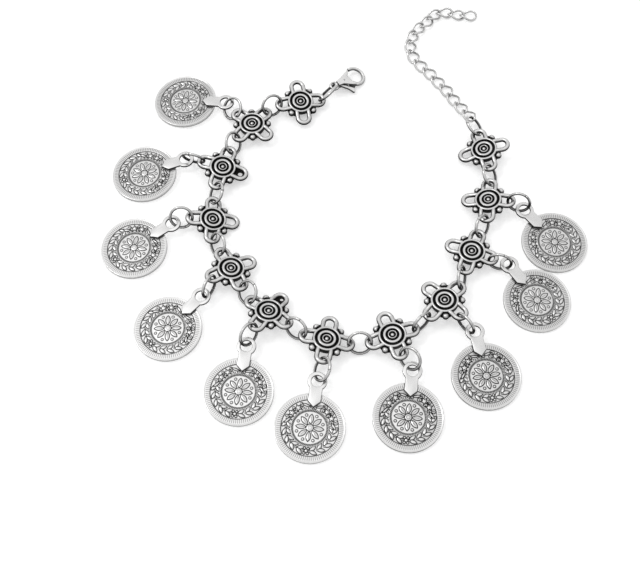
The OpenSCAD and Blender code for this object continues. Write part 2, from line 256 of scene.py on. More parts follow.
def clasp_place():
    d = [math.radians(a) for a in (CLASP_ROLL, CLASP_DIP, CLASP_HEADING)]
    turn = Matrix.Rotation(d[2], 4, "Z") @ Matrix.Rotation(d[1], 4, "Y") @ Matrix.Rotation(d[0], 4, "X")
    m = np.array(turn)
    m[:3, 3] = CLASP_EYE - MIDDLE
    return m


print("clasp at", clasp_place()[:3, 3].round(2))

# %% [markdown]
# The camera. The photograph is taken from 64 degrees above the table with a
# lens a little longer than normal. A camera can be matched by eye, but the
# coins' outlines fix it better, because they are round and equally large.
# The picture is 640 pixels wide, and the focal length is known in pixels,
# so one division turns it into millimetres on the sensor.

# %% Camera
CAMERA_ELEVATION, CAMERA_DISTANCE = 63.57, 252.9
FOCAL_PIXELS, IMAGE_WIDTH, SENSOR_WIDTH = 999.0, 640, 36
scene = bpy.context.scene
elev = math.radians(CAMERA_ELEVATION)
cam = bpy.data.cameras.new("camera")
cam_obj = bpy.data.objects.new("camera", cam)
scene.collection.objects.link(cam_obj)
cam.sensor_fit = "HORIZONTAL"
cam.sensor_width = SENSOR_WIDTH
cam.lens = FOCAL_PIXELS * SENSOR_WIDTH / IMAGE_WIDTH
cam.clip_start, cam.clip_end = 0.005, 50
eye_at = np.array([0, -math.cos(elev), math.sin(elev)]) * CAMERA_DISTANCE - MIDDLE
cam_obj.location = Vector(eye_at * MM)
cam_obj.rotation_euler = (math.pi / 2 - elev, 0, 0)
scene.camera = cam_obj
print("lens %.1f mm" % cam.lens)

# %% [markdown]
# Tarnish and shade. Tarnish stays where polishing can't reach, and painted
# shade darkens sides, undersides and the places between parts where shade
# falls, so each point of a mesh carries one number for both. It could be
# painted by hand or traced with rays. Here it is worked out from the shapes
# themselves while they are built, which is exact and costs nothing. A Shell
# gathers closed surfaces with that number and makes one mesh. Its UV map
# keeps the mesh's own x and y in millimetres, for the coin's finish.

# %% A mesh that carries tarnish and painted shade
def smooth(lo, hi, x):
    t = np.clip((np.asarray(x, float) - lo) / (hi - lo), 0, 1)
    return t * t * (3 - 2 * t)


class Shell:
    def __init__(self):
        self.points, self.faces, self.recess, self.struck, self.count = [], [], [], [], 0

    def add(self, points, faces, recess=0.0, struck=0.0):
        points = np.asarray(points, float)
        self.points.append(points)
        self.faces += [tuple(i + self.count for i in f) for f in faces]
        self.recess.append(np.broadcast_to(np.asarray(recess, float), (len(points),)))
        self.struck.append(np.broadcast_to(np.asarray(struck, float), (len(points),)))
        self.count += len(points)

    def mesh(self, name):
        points = np.vstack(self.points) * MM
        me = bpy.data.meshes.new(name)
        me.from_pydata(points.tolist(), [], self.faces)
        me.validate()
        for label, values in (("recess", self.recess), ("struck", self.struck)):
            at = me.attributes.new(label, "FLOAT", "POINT")
            at.data.foreach_set("value", np.concatenate(values).astype(np.float32))
        uv = me.uv_layers.new(name="local")
        loop_at = np.empty(len(me.loops), int)
        me.loops.foreach_get("vertex_index", loop_at)
        uv.data.foreach_set("uv", (points[loop_at][:, :2] / MM).astype(np.float32).ravel())
        me.polygons.foreach_set("use_smooth", [True] * len(me.polygons))
        me.update()
        return me


def grid_faces(rows, cols, wrap_rows=False, wrap_cols=False):
    out = []
    for i in range(rows if wrap_rows else rows - 1):
        for j in range(cols if wrap_cols else cols - 1):
            a, b = (i + 1) % rows, (j + 1) % cols
            out.append((i * cols + j, i * cols + b, a * cols + b, a * cols + j))
    return out


print("shells ready")

# %% [markdown]
# Round forms. Loops, rings, links and the claw are wire: a circle swept
# along a path. The disc is turned about its axis. Blender's curves and its
# screw tool could make both, but plain rings of points are as short to
# write, and each point can get its tarnish number from where it lies.

# %% Wires, balls and turned forms
SIDEWAYS = (0.3, 0.2, 0.9)  # a direction that no wire here starts along


def tube(path, radius, sides, closed=True):
    """Points and faces of a round wire along a path, with a frame that doesn't twist."""
    path = np.asarray(path, float)
    n = len(path)
    if closed:
        ahead = np.roll(path, -1, 0) - np.roll(path, 1, 0)
    else:
        ahead = np.gradient(path, axis=0)
    ahead /= np.linalg.norm(ahead, axis=1)[:, None]
    out = unit(np.cross(ahead[0], SIDEWAYS))
    outs = []
    for t in ahead:
        out = unit(out - t * np.dot(out, t))
        outs.append(out)
    outs = np.array(outs)
    spread = np.zeros(n)
    if closed:
        first, last = outs[0], unit(outs[-1] - ahead[0] * np.dot(outs[-1], ahead[0]))
        twist = math.atan2(np.dot(np.cross(last, first), ahead[0]), np.dot(last, first))
        spread = np.arange(n) / n * twist
    over = np.cross(ahead, outs)
    around = np.linspace(0, 2 * math.pi, sides, endpoint=False)[None] + spread[:, None]
    across = outs[:, None] * np.cos(around)[..., None] + over[:, None] * np.sin(around)[..., None]
    points = (path[:, None] + radius * across).reshape(-1, 3)
    faces = grid_faces(n, sides, wrap_rows=closed, wrap_cols=True)
    if not closed:
        end = (n - 1) * sides
        faces += [tuple(range(sides))[::-1], tuple(end + i for i in range(sides))]
    return points, faces


def circles(radii, heights, sides):
    """Points of circles about Z, one circle for each radius and height."""
    a = np.linspace(0, 2 * math.pi, sides, endpoint=False)
    rows = [np.outer(radii, np.cos(a)), np.outer(radii, np.sin(a)), np.outer(heights, np.ones(sides))]
    return np.stack(rows, -1).reshape(-1, 3)


def ball(centre, radius, rings=12, sides=20):
    down = np.linspace(0, math.pi, rings + 1)[1:-1]
    points = circles(np.sin(down), np.cos(down), sides)
    points = np.vstack([points, [[0, 0, 1], [0, 0, -1]]]) * radius + centre
    faces = [f[::-1] for f in grid_faces(rings - 1, sides, wrap_cols=True)]
    top, low, last = (rings - 1) * sides, (rings - 1) * sides + 1, (rings - 2) * sides
    faces += [(top, i, (i + 1) % sides) for i in range(sides)]
    faces += [(low, last + (i + 1) % sides, last + i) for i in range(sides)]
    return points, faces


def lathe(profile, sides):
    """A profile of (radius, height) rows turned about Z, closed at both ends on the axis."""
    rows = np.array([p for p in profile if p[0] > 0], float)
    points = circles(rows[:, 0], rows[:, 1], sides)
    faces = grid_faces(len(rows), sides, wrap_cols=True)
    low, top = len(points), len(points) + 1
    points = np.vstack([points, [[0, 0, profile[0][1]], [0, 0, profile[-1][1]]]])
    last = (len(rows) - 1) * sides
    faces += [(low, (i + 1) % sides, i) for i in range(sides)]
    faces += [(top, last + i, last + (i + 1) % sides) for i in range(sides)]
    return points, faces


print("round forms ready")

# %% [markdown]
# Plates. The bail, the clasp's cheeks and its lever are flat with rounded
# edges. They could be cut from blocks and bevelled. A filled curve with a
# bevel is shorter: it takes any outline, holes too, and rounds all its edges
# alike. The webs and the films between a connector's wires are plates too.

# %% Plates with rounded edges
BEVEL_STEPS = 3
SAME_POINT = 1e-7  # metres


def plate(outlines, thickness, bevel):
    """A flat plate with rounded edges from closed outlines, the first of them outside."""
    curve = bpy.data.curves.new("plate", "CURVE")
    curve.dimensions = "2D"
    curve.fill_mode = "BOTH"
    curve.extrude = (thickness / 2 - bevel) * MM
    curve.bevel_depth = bevel * MM
    curve.bevel_resolution = BEVEL_STEPS
    curve.offset = -bevel * MM
    for outline in outlines:
        line = curve.splines.new("POLY")
        line.points.add(len(outline) - 1)
        for p, (x, y) in zip(line.points, outline):
            p.co = (x * MM, y * MM, 0, 1)
        line.use_cyclic_u = True
    obj = bpy.data.objects.new("plate", curve)
    scene.collection.objects.link(obj)
    me = bpy.data.meshes.new_from_object(obj.evaluated_get(bpy.context.evaluated_depsgraph_get()))
    bpy.data.objects.remove(obj)
    bpy.data.curves.remove(curve)
    bm = bmesh.new()
    bm.from_mesh(me)
    bmesh.ops.remove_doubles(bm, verts=bm.verts, dist=SAME_POINT)
    bmesh.ops.recalc_face_normals(bm, faces=bm.faces)
    bm.to_mesh(me)
    bm.free()
    return me


def thicken(s, outlines, z0, z1, bevel, tag=0.0, sides=0.4):
    """Adds such a plate to a Shell. Tag is its number of tarnish and shade, and sides is the painted
    shade on its rounded edges.
    """
    me = plate(outlines, z1 - z0, bevel)
    points = np.empty(len(me.vertices) * 3)
    me.vertices.foreach_get("co", points)
    points = points.reshape(-1, 3) / MM
    half = (z1 - z0) / 2
    # Painted shade on the plate's rounded edges, by the sides number.
    down = sides * smooth(half - 0.02, half - bevel, np.abs(points[:, 2]))
    points[:, 2] += (z0 + z1) / 2
    s.add(points, [tuple(p.vertices) for p in me.polygons], np.maximum(tag, down))


def arc(cx, cy, r, a0, a1, n):
    turns = np.radians(np.linspace(a0, a1, n))
    return [(cx + r * math.cos(a), cy + r * math.sin(a)) for a in turns]


def turned(outline, deg):
    c, d, _ = heading(deg)
    return [(x * c - y * d, x * d + y * c) for x, y in outline]


print("plates ready")

# %% [markdown]
# Shader sums. Wiring Math nodes one by one takes several lines for each and
# hides the sum. Here shader sums are written as Python expressions: Wire
# wraps an output socket, so that a * b + c makes the Math nodes.

# %% Sums on sockets
class Wire:
    def __init__(self, nodes, socket):
        self.nodes, self.socket = nodes, socket

    def __add__(self, other):
        return self.nodes.maths("ADD", self, other)

    def __sub__(self, other):
        return self.nodes.maths("SUBTRACT", self, other)

    def __mul__(self, other):
        return self.nodes.maths("MULTIPLY", self, other)

    def __radd__(self, other):
        return self.nodes.maths("ADD", other, self)

    def __rsub__(self, other):
        return self.nodes.maths("SUBTRACT", other, self)

    def __rmul__(self, other):
        return self.nodes.maths("MULTIPLY", other, self)

    def clamp(self):
        return self.nodes.new("ShaderNodeClamp", Value=self).out()

    def ramp(self, lo, hi, a=0.0, b=1.0):
        settings = {"interpolation_type": "SMOOTHSTEP"}
        inputs = {"Value": self, "From Min": lo, "From Max": hi, "To Min": a, "To Max": b}
        return self.nodes.new("ShaderNodeMapRange", settings, inputs).out()


print("sums ready")

# %% [markdown]
# The other nodes. Nodes.new makes any node from its type, its settings and
# its inputs in one call. The same class serves the materials and the sky.

# %% Nodes in one call
class Made:
    def __init__(self, nodes, node):
        self.nodes, self.node = nodes, node

    def out(self, name=0):
        return Wire(self.nodes, self.node.outputs[name])


class Nodes:
    """The nodes of a material or of a world, with the shader that ends them."""

    def __init__(self, owner, shader):
        owner.use_nodes = True
        self.owner, self.tree = owner, owner.node_tree
        self.shader = self.tree.nodes[shader]

    def put(self, socket, value):
        if isinstance(value, Wire):
            self.tree.links.new(value.socket, socket)
        else:
            socket.default_value = value

    def new(self, kind, settings=None, inputs=None, **named):
        node = self.tree.nodes.new(kind)
        for key, value in (settings or {}).items():
            if key == "stops":
                self.set_stops(node.color_ramp.elements, value)
            else:
                setattr(node, key, value)
        for key, value in {**(inputs or {}), **named}.items():
            self.put(node.inputs[key], value)
        return Made(self, node)

    def set_stops(self, stops, rows):
        while len(stops) < len(rows):
            stops.new(1.0)
        for stop, (position, tone) in zip(stops, rows):
            stop.position, stop.color = position, (tone, tone, tone, 1)

    def maths(self, kind, *values):
        node = self.tree.nodes.new("ShaderNodeMath")
        node.operation = kind
        for socket, value in zip(node.inputs, values):
            self.put(socket, value)
        return Wire(self, node.outputs[0])

    def mix(self, factor, a, b):
        node = self.tree.nodes.new("ShaderNodeMix")
        node.data_type = "RGBA"
        colours = [s for s in node.inputs if s.type == "RGBA"]
        self.put(node.inputs[0], factor)
        self.put(colours[0], a)
        self.put(colours[1], b)
        return Wire(self, [s for s in node.outputs if s.type == "RGBA"][0])

    def noise(self, where, scale, detail):
        inputs = {"Vector": where, "Scale": scale, "Detail": detail, "Roughness": 0.55}
        return self.new("ShaderNodeTexNoise", None, inputs).out()


def grey(v, warm=0.0):
    return (v * (1 + warm), v, v * (1 - warm), 1.0)


print("shader tools ready")

# %% [markdown]
# Silver. The real surface is bright plating over a tarnished layer that
# stays black where polishing can't reach. It could be a picture wrapped
# round each piece, but a recipe stays sharp at any distance: clean metal and
# a dark tone are mixed by the number of tarnish and shade, so the dark tone
# is tarnish in hollows and painted shade on sides and between parts, broken
# up by two sizes of noise; the roughness follows the same mask, and a fine
# bump gives the hairlines of polishing. Only the numbers differ from piece
# to piece. A piece that moves carries the noise with it, so it reads its own
# coordinates.

# %% The recipe for silver
CLOUDS, GRAIN = 260.0, 4200.0  # waves of noise in a metre
HAIRS = {"Scale": (900.0, 9000.0, 3000.0), "Rotation": (0.3, 0.2, 0.7)}
SCRATCH_DEPTH = 0.00002


def silver(name, clean, dark_tone, rough, scratch, moving=False):
    n = Nodes(bpy.data.materials.new(name), "Principled BSDF")
    if moving:
        where = n.new("ShaderNodeTexCoord").out("Object")
    else:
        where = n.new("ShaderNodeNewGeometry").out("Position")
    recess = n.new("ShaderNodeAttribute", {"attribute_name": "recess"}).out("Fac")
    cloud = n.noise(where, CLOUDS, 3.0)
    grain = n.noise(where, GRAIN, 4.0)
    mask = (recess * (0.85 + 0.35 * cloud) + 0.25 * (grain - 0.5) * recess).clamp()
    film = cloud.ramp(0.35, 0.75, 0.0, 0.12)
    worn = n.mix(film, clean, tuple(0.72 * c for c in clean[:3]) + (1.0,))
    # The dark tone goes on both as tarnish and as painted shade.
    n.put(n.shader.inputs["Base Color"], n.mix(mask, worn, dark_tone))
    n.shader.inputs["Metallic"].default_value = 1.0
    n.put(n.shader.inputs["Roughness"], rough + 0.35 * mask + 0.12 * (grain - 0.5))
    hairs = n.noise(n.new("ShaderNodeMapping", None, {"Vector": where, **HAIRS}).out(), 1.0, 2.0)
    polish = {"Strength": scratch, "Distance": SCRATCH_DEPTH, "Height": hairs * 0.5 + grain * 0.5}
    n.put(n.shader.inputs["Normal"], n.new("ShaderNodeBump", None, polish).out())
    return n


print("silver ready")

# %% [markdown]
# The coin's finish. Round its struck face run a reeded border, a dark ring
# line and a beaded ring, which are all finer than the mesh. Modelled, they
# would take too many faces on ten coins, so they are drawn in the colour as
# functions of radius and angle, only where the number struck is 1. A ramp
# between two radii gives a ring with soft edges.

# %% Materials
REEDS, BEADS = 100.0, 70.0


def coin_silver():
    n = silver("coin_metal", grey(0.85, 0.004), grey(0.015, 0.02), 0.28, 0.15)
    own = n.new("ShaderNodeUVMap", {"uv_map": "local"}).out()
    parts = n.new("ShaderNodeSeparateXYZ", None, {"Vector": own})
    x, y = parts.out(0), parts.out(1)
    struck = n.new("ShaderNodeAttribute", {"attribute_name": "struck"}).out("Fac")
    radius = n.maths("SQRT", x * x + y * y)
    angle = n.maths("ARCTAN2", y, x)
    border = radius.ramp(BORDER_R, 7.02) * (1.0 - radius.ramp(7.8, 8.1)) * struck
    reeds = n.maths("SINE", angle * REEDS).ramp(-0.25, 0.35) * border
    beads = n.maths("SINE", angle * BEADS + radius * 7.0).ramp(-0.8, 0.9)
    rope = radius.ramp(4.2, 4.26) * (1.0 - radius.ramp(4.5, 4.6)) * struck
    lines = (
        0.95 * (1.0 - n.maths("ABSOLUTE", radius - RING_LINE_R).ramp(0.07, 0.15))
        + (0.6 + 0.4 * beads) * (1.0 - n.maths("ABSOLUTE", radius - MEDALLION_R).ramp(0.14, 0.26))
    ) * struck
    base = n.shader.inputs["Base Color"]
    colour = Wire(n, base.links[0].from_socket)
    colour = n.mix(0.58 * reeds + (0.35 + 0.6 * beads) * rope, colour, grey(0.1, 0.01))
    n.put(base, n.mix(lines.clamp(), colour, grey(0.02, 0.01)))
    return n


FINISHES = {  # clean metal, dark tone of tarnish and painted shade, roughness, scratches, does it move
    "connector_metal": (grey(0.80, 0.004), grey(0.012, 0.02), 0.28, 0.15, False),
    "ring_metal": (grey(0.78, 0.004), grey(0.025), 0.24, 0.1, False),
    "clasp_metal": (grey(0.93, 0.004), grey(0.06), 0.24, 0.1, True),
    "chain_metal": (grey(0.84, 0.004), grey(0.08), 0.24, 0.1, False),
}
MATERIALS = {"coin_metal": coin_silver().owner}
for name, numbers in FINISHES.items():
    MATERIALS[name] = silver(name, *numbers).owner
print("materials", sorted(MATERIALS))

# %% [markdown]
# Putting a piece in. Equal pieces are copies of one mesh, moved to their
# places, as castings from one mould are. Linked copies would be lighter, but
# each copy gets painted shade on the sides and underside of the piece as it
# lies, so each copy gets its own numbers: they grow where the surface turns
# away from above. Reach says how steep a side still has to be to get painted
# shade, the shade amount says how dark it gets, and a spread under 1 widens
# the tarnish and painted shade that are already there.

# %% Put a piece in
SHADE_FADE = 0.36  # how far a side turns from clean to painted shade, as a height of its normal


def paint_shade_below(mesh, amount, reach, spread):
    n = len(mesh.vertices)
    facing, recess = np.empty(3 * n), np.empty(n)
    mesh.vertices.foreach_get("normal", facing)
    values = mesh.attributes["recess"].data
    values.foreach_get("value", recess)
    # Painted shade: sides and undersides turned away from above get darker.
    under_shade = amount * smooth(reach, reach - SHADE_FADE, facing.reshape(-1, 3)[:, 2])
    values.foreach_set("value", np.maximum(recess**spread, under_shade).astype(np.float32))


def put(name, mesh, matrix, node, slot, body="anklet", under_shade=1.0, reach=0.5, spread=1.0):
    m = Matrix(matrix.tolist())
    m.translation = m.translation * MM
    placed = mesh.copy()
    placed.name = name
    placed.transform(m)
    placed.materials.append(MATERIALS[slot])
    paint_shade_below(placed, under_shade, reach, spread)
    obj = bpy.data.objects.new(name, placed)
    scene.collection.objects.link(obj)
    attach(obj, body)
    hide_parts(node)


def triangles(mesh):
    return sum(len(p.vertices) - 2 for p in mesh.polygons)


print("pieces can go in")

# %% [markdown]
# Connectors. Each is one casting: a disc with two raised rings round a ball,
# four loops of round wire and four balls with a web behind each, the web
# painted black as the shade between ball and loops. It could be sculpted, but
# a caster's model is made of turned and bent parts as well: the disc is a
# lathe profile, and a loop is a wire swept along a U whose feet climb the
# disc. The number is high in the grooves as tarnish, and under the balls and
# where the loops run into the disc as painted shade.

# %% The disc's profile
def disc_profile():
    top = DISC_TOP
    return [  # radius, height, tarnish and painted shade
        # The underside and the outer wall are painted dark as shade; the grooves further in hold tarnish.
        (0.0, -DISC_BASE, 0.3),
        (3.1, -DISC_BASE, 0.3),
        (3.35, -DISC_BASE + 0.03, 0.3),
        (3.5, -DISC_BASE + 0.15, 0.6),
        (3.55, -DISC_BASE + 0.3, 1.0),
        (3.55, top - 0.55, 1.0),
        (3.54, top - 0.38, 0.75),
        (3.5, top - 0.22, 0.25),
        (3.43, top - 0.1, 0.05),
        (3.32, top - 0.02, 0.0),
        (3.18, top, 0.0),
        (3.04, top - 0.02, 0.0),
        (2.96, top - 0.08, 0.2),
        (2.9, top - 0.2, 1.0),
        (2.82, top - 0.42, 1.0),
        (2.72, top - 0.5, 1.0),
        (2.48, top - 0.5, 1.0),
        (2.38, top - 0.42, 1.0),
        (2.32, top - 0.2, 1.0),
        (2.26, top - 0.08, 0.2),
        (2.17, top - 0.01, 0.0),
        (2.05, top, 0.0),
        (1.86, top, 0.0),
        (1.74, top - 0.02, 0.0),
        (1.66, top - 0.1, 0.25),
        (1.61, top - 0.22, 1.0),
        (1.53, top - 0.44, 1.0),
        (1.44, top - 0.5, 1.0),
        (1.3, top - 0.5, 1.0),
        (1.22, top - 0.44, 1.0),
        (1.17, top - 0.22, 1.0),
        (1.12, top - 0.1, 0.25),
        (1.04, top - 0.02, 0.0),
        (0.94, top - 0.02, 0.0),
        (0.86, top - 0.1, 0.25),
        (0.8, top - 0.26, 0.9),
        (0.74, top - 0.42, 1.0),
        (0.6, top - 0.48, 1.0),
        (0.0, top - 0.5, 1.0),
    ]


print("rows in the profile", len(disc_profile()))

# %% [markdown]
# One mould, twelve castings. The mesh is built once, lying flat with its
# middle at the origin, so every measure in it is a plain radius or height.
# In two of the castings a free loop is dark inside with shade. A dark spot
# in the colour would hang in the open hole, so a thin black film of painted
# shade fills it, with an opening left in it.

# %% Connectors
LEG = (LOOP_W - LOOP_WIRE) / 2  # from a loop's middle line out to its wire
BEND = LOOP_REACH - LOOP_WIRE / 2 - LEG  # where a loop starts to turn back
RISE = DISC_TOP - LOOP_WIRE / 2 - 0.04  # how far a loop's feet climb the disc
BOSS_R = 0.56
BALL_AT = BALL_REACH * math.sqrt(0.5)
WEB = [(2.8, -0.5), (4.35, -1.3), (4.6, -0.7), (4.6, 0.7), (4.35, 1.3), (2.8, 0.5)]
CAST_REACH = 0.82
SHADE_FILMS = [  # connector, loop, opening x, y, radius
    (3, 0, 5.0, -0.25, 0.6),
    (6, 0, 5.1, -0.3, 0.42),
]


def add_disc(s):
    rows, sides = disc_profile(), 72
    p, f = lathe([row[:2] for row in rows], sides)
    ringed = [row[2] for row in rows if row[0] > 0]
    s.add(p, f, np.concatenate([np.repeat(ringed, sides), [rows[0][2], rows[-1][2]]]))
    p, f = ball((0, 0, DISC_TOP - BOSS_R), BOSS_R)
    # Painted shade: the boss darkens low down and towards one side.
    s.add(p, f, smooth(DISC_TOP - 0.12, DISC_TOP - 0.34, p[:, 2] - 0.25 * p[:, 1]) * 0.9)


def add_loop(s, turn):
    feet = [(x, RISE * float(smooth(5.0, 3.3, x))) for x in np.linspace(2.75, BEND, 12)]
    path = [(x, LEG, z) for x, z in feet[:-1]]
    path += [(BEND + LEG * math.sin(t), LEG * math.cos(t), 0) for t in np.linspace(0, math.pi, 25)]
    path += [(x, -LEG, z) for x, z in feet[-2::-1]]
    p, f = tube(path, LOOP_WIRE / 2, 16, closed=False)
    # Painted shade where the loop runs down into the disc and where it passes a ball.
    root_shade = smooth(4.6, 3.75, np.hypot(p[:, 0], p[:, 1])) * smooth(0.82, 0.5, p[:, 2])
    gap = np.sqrt((p[:, 0] - BALL_AT) ** 2 + (np.abs(p[:, 1]) - BALL_AT) ** 2 + p[:, 2] ** 2)
    s.add(p @ turn.T, f, np.maximum(root_shade, smooth(1.5, 1.12, gap)))


def add_ball(s, turn, deg):
    p, f = ball(heading(deg) * BALL_REACH, BALL_R, 14, 24)
    # Painted shade on the ball's side towards the disc and next to the loops.
    ball_shade = smooth(4.3, 3.9, np.hypot(p[:, 0], p[:, 1]))
    spun = p @ turn
    for side in (spun[:, 1], spun[:, 0]):
        ball_shade = np.maximum(ball_shade, smooth(1.1, 0.78, np.hypot(side - LEG, spun[:, 2] - RISE * 0.6)))
    s.add(p, f, ball_shade)
    # The web is painted black, standing for the shade between the ball and the loops.
    thicken(s, [turned(WEB, deg)], -0.35, 0.1, 0.05, 1.0)


def connector_mesh():
    s = Shell()
    add_disc(s)
    for q in range(4):
        c, d, _ = heading(90 * q)
        turn = np.array([[c, -d, 0], [d, c, 0], [0, 0, 1]])
        add_loop(s, turn)
        add_ball(s, turn, 90 * q + 45)
    return s.mesh("connector")


def shade_film_mesh(loop, x, y, r):
    """A black film of painted shade inside one loop, round an opening of radius r at x, y."""
    inside, foot = LEG - LOOP_WIRE / 2 + 0.08, DISC_R - 0.2
    bend = arc(BEND, 0, inside, -90, 90, 21)
    outline = [(foot, -inside)] + bend + [(foot, inside)]
    opening = arc(x, y, r, 0, 360, 25)[:-1]
    s = Shell()
    # Number 1.0 paints the film black as shade.
    thicken(s, [turned(outline, 90 * loop), turned(opening, 90 * loop)], -0.2, 0.1, 0.04, 1.0)
    return s.mesh("film")


for i, loop, x, y, r in SHADE_FILMS:
    node = "connector_%d" % i
    m = connector_place(CONNECTORS[i - 1])
    put(node + "_shade_film", shade_film_mesh(loop, x, y, r), m, node, "connector_metal")
shared = connector_mesh()
for i, row in enumerate(CONNECTORS, 1):
    node = "connector_%d" % i
    put(node + "_cast", shared, connector_place(row), node, "connector_metal", reach=CAST_REACH)
print("connector triangles", triangles(shared))

# %% [markdown]
# Ornament. A coin is struck, so its face is one surface that rises and
# falls. It could be sculpted or come from a height picture. Here each
# ornament is a depth, the distance inside its outline, worked out for every
# point of the face at once. A leaf is where two circles meet, a star is
# five folded edges, and a curl is a line that winds in.

# %% The shapes of the ornament
def rotate2(x, y, deg):
    c, s = math.cos(math.radians(deg)), math.sin(math.radians(deg))
    return x * c + y * s, y * c - x * s


def leaf_depth(x, y, length, width):
    r = (length * length / 4 + width * width / 4) / width
    return r - np.maximum(np.hypot(x, y - (r - width / 2)), np.hypot(x, y + (r - width / 2)))


def star_depth(x, y, r):
    sector = 2 * math.pi / 5
    t = np.abs((np.arctan2(y, x) + sector / 2) % sector - sector / 2)
    rad = np.hypot(x, y)
    px, py = rad * np.cos(t), rad * np.sin(t)
    inner = 0.45 * r
    ex, ey = inner * math.cos(sector / 2) - r, inner * math.sin(sector / 2)
    return -((px - r) * ey - py * ex) / math.hypot(ex, ey)


def curl_depth(x, y, cx, cy, r, width, start, sweep):
    """A curl: a line that winds in towards its centre and ends in a knob."""
    dx, dy = x - cx, y - cy
    rad = np.hypot(dx, dy)
    turn = (np.degrees(np.arctan2(dy, dx)) - start) * (1 if sweep > 0 else -1) % 360
    sweep = abs(sweep)
    best = 0.6 * width - rad
    for wind in range(int(sweep // 360) + 1):
        t = turn + 360 * wind
        d = width / 2 * (1 - 0.3 * t / sweep) - np.abs(rad - r * (1 - 0.6 * t / sweep))
        best = np.where(t <= sweep, np.maximum(best, d), best)
    return best


print("middle of a leaf 1.7 by 0.72 mm is %.2f mm deep" % leaf_depth(0.0, 0.0, 1.7, 0.72))

# %% [markdown]
# The plan of the face. A laurel wreath fills the lower half of the band,
# curls, leaflets and stars fill the upper half, and a rosette fills the
# medallion. Left and right are alike, so an angle here is used on both sides.

# %% The plan of the face
BAND_MIDDLE, CURL_MIDDLE, PETAL_MIDDLE = 5.6, 5.62, 2.15  # radii
LEAF, LEAFLET, PETAL = (1.7, 0.72), (1.7, 0.42), (2.2, 0.95)  # length, width
LEAF_TURNS = (16, 35, 54, 73, 92)  # degrees from the coin's foot
LEAFLET_TURNS, STAR_TURNS = (17, 79), (58, 38)  # degrees from the bail
STAR_R, CURL_LINE, CURL_SWEEP = 0.75, 0.24, 300
BERRY_R, BERRY_MIDDLE = 0.24, 3.2
KNOB_R, KNOB_LINE_R = 0.8, 0.42
DOME, ROPE_H, BORDER_H, LIP_H = 0.12, 0.13, 0.11, 0.16  # heights over the field
FOOT_BERRIES = [  # x, y, radius
    (-5.6, 0, 0.34),
    (-6.2, 0.42, 0.22),
    (-6.2, -0.42, 0.22),
    (-5.0, 0.42, 0.22),
    (-5.0, -0.42, 0.22),
]
CURLS = [  # degrees from the bail, side of the band, radius
    (7.5, -1, 0.46),
    (28, 1, 0.5),
    (26, -1, 0.4),
    (48, 1, 0.46),
    (48, -1, 0.42),
    (69, -1, 0.5),
    (71, 1, 0.44),
    (81, -1, 0.36),
]
print("curls", 2 * len(CURLS), "leaves", 4 * len(LEAF_TURNS))

# %% [markdown]
# Striking the face. Each ornament is stamped over what was there before: it
# raises the face inside its outline and leaves a fine line of tarnish just
# outside. The lines carry the drawing, because the relief is only a sixth of
# a millimetre high.

# %% The struck face
class Relief:
    def __init__(self, x, y):
        self.x, self.y = x, y
        self.r = np.hypot(x, y)
        self.height = np.zeros_like(self.r)
        self.line = np.zeros_like(self.r)

    def stamp(self, depth, height, ink=1.0):
        inside = smooth(-0.05, 0.03, depth)
        dome = height * (0.7 + 0.5 * smooth(0.0, 0.28, depth))
        self.height = self.height * (1 - inside) + inside * dome
        self.line = np.maximum(self.line * (1 - inside), ink * smooth(0.14, 0.075, np.abs(depth + 0.085)))

    def crease(self, depth, amount):
        self.line = np.maximum(self.line, amount * smooth(0.1, 0.03, depth))


def wreath(k):
    for side in (-1, 1):
        for turn in LEAF_TURNS:
            lx, ly = rotate2(k.x, k.y, 180 + side * turn)
            lx = lx - BAND_MIDDLE
            for lean in (-1, 1):
                px, py = rotate2(lx - 0.46 * lean, ly, side * 90 - lean * 30)
                k.stamp(leaf_depth(px, py, *LEAF), 0.14)
            k.stamp(0.12 - np.hypot(lx, ly + side * 0.8), 0.13, 0.7)
    for x0, y0, size in FOOT_BERRIES:
        k.stamp(size - np.hypot(k.x - x0, k.y - y0), 0.15)


def upper_band(k):
    for side in (-1, 1):
        for turn, way, size in CURLS:
            x0, y0, _ = heading(side * turn) * (CURL_MIDDLE + way * (1.0 - size))
            start, sweep = side * turn + 90 * way, side * way * CURL_SWEEP
            k.stamp(curl_depth(k.x, k.y, x0, y0, size, CURL_LINE, start, sweep), 0.13)
        for turn in LEAFLET_TURNS:
            lx, ly = rotate2(k.x, k.y, side * turn)
            px, py = rotate2(lx - CURL_MIDDLE, ly, side * 60)
            k.stamp(leaf_depth(px, py, *LEAFLET), 0.13)
        for turn in STAR_TURNS:
            lx, ly = rotate2(k.x, k.y, side * turn)
            k.stamp(star_depth(lx - BAND_MIDDLE, ly, STAR_R), 0.15)


def rosette(k):
    for i in range(8):
        lx, ly = rotate2(k.x, k.y, 45 * i + 22.5)
        k.stamp(BERRY_R - np.hypot(lx - BERRY_MIDDLE, ly), 0.13, 0.8)
    for i in range(8):
        lx, ly = rotate2(k.x, k.y, 45 * i)
        k.stamp(leaf_depth(lx - PETAL_MIDDLE, ly, *PETAL), 0.15)
        k.crease(np.hypot(np.maximum(np.abs(lx - 2.0) - 0.6, 0), ly), 0.7)
    k.stamp(KNOB_R - k.r, 0.14)
    k.crease(np.abs(k.r - KNOB_LINE_R), 0.5)


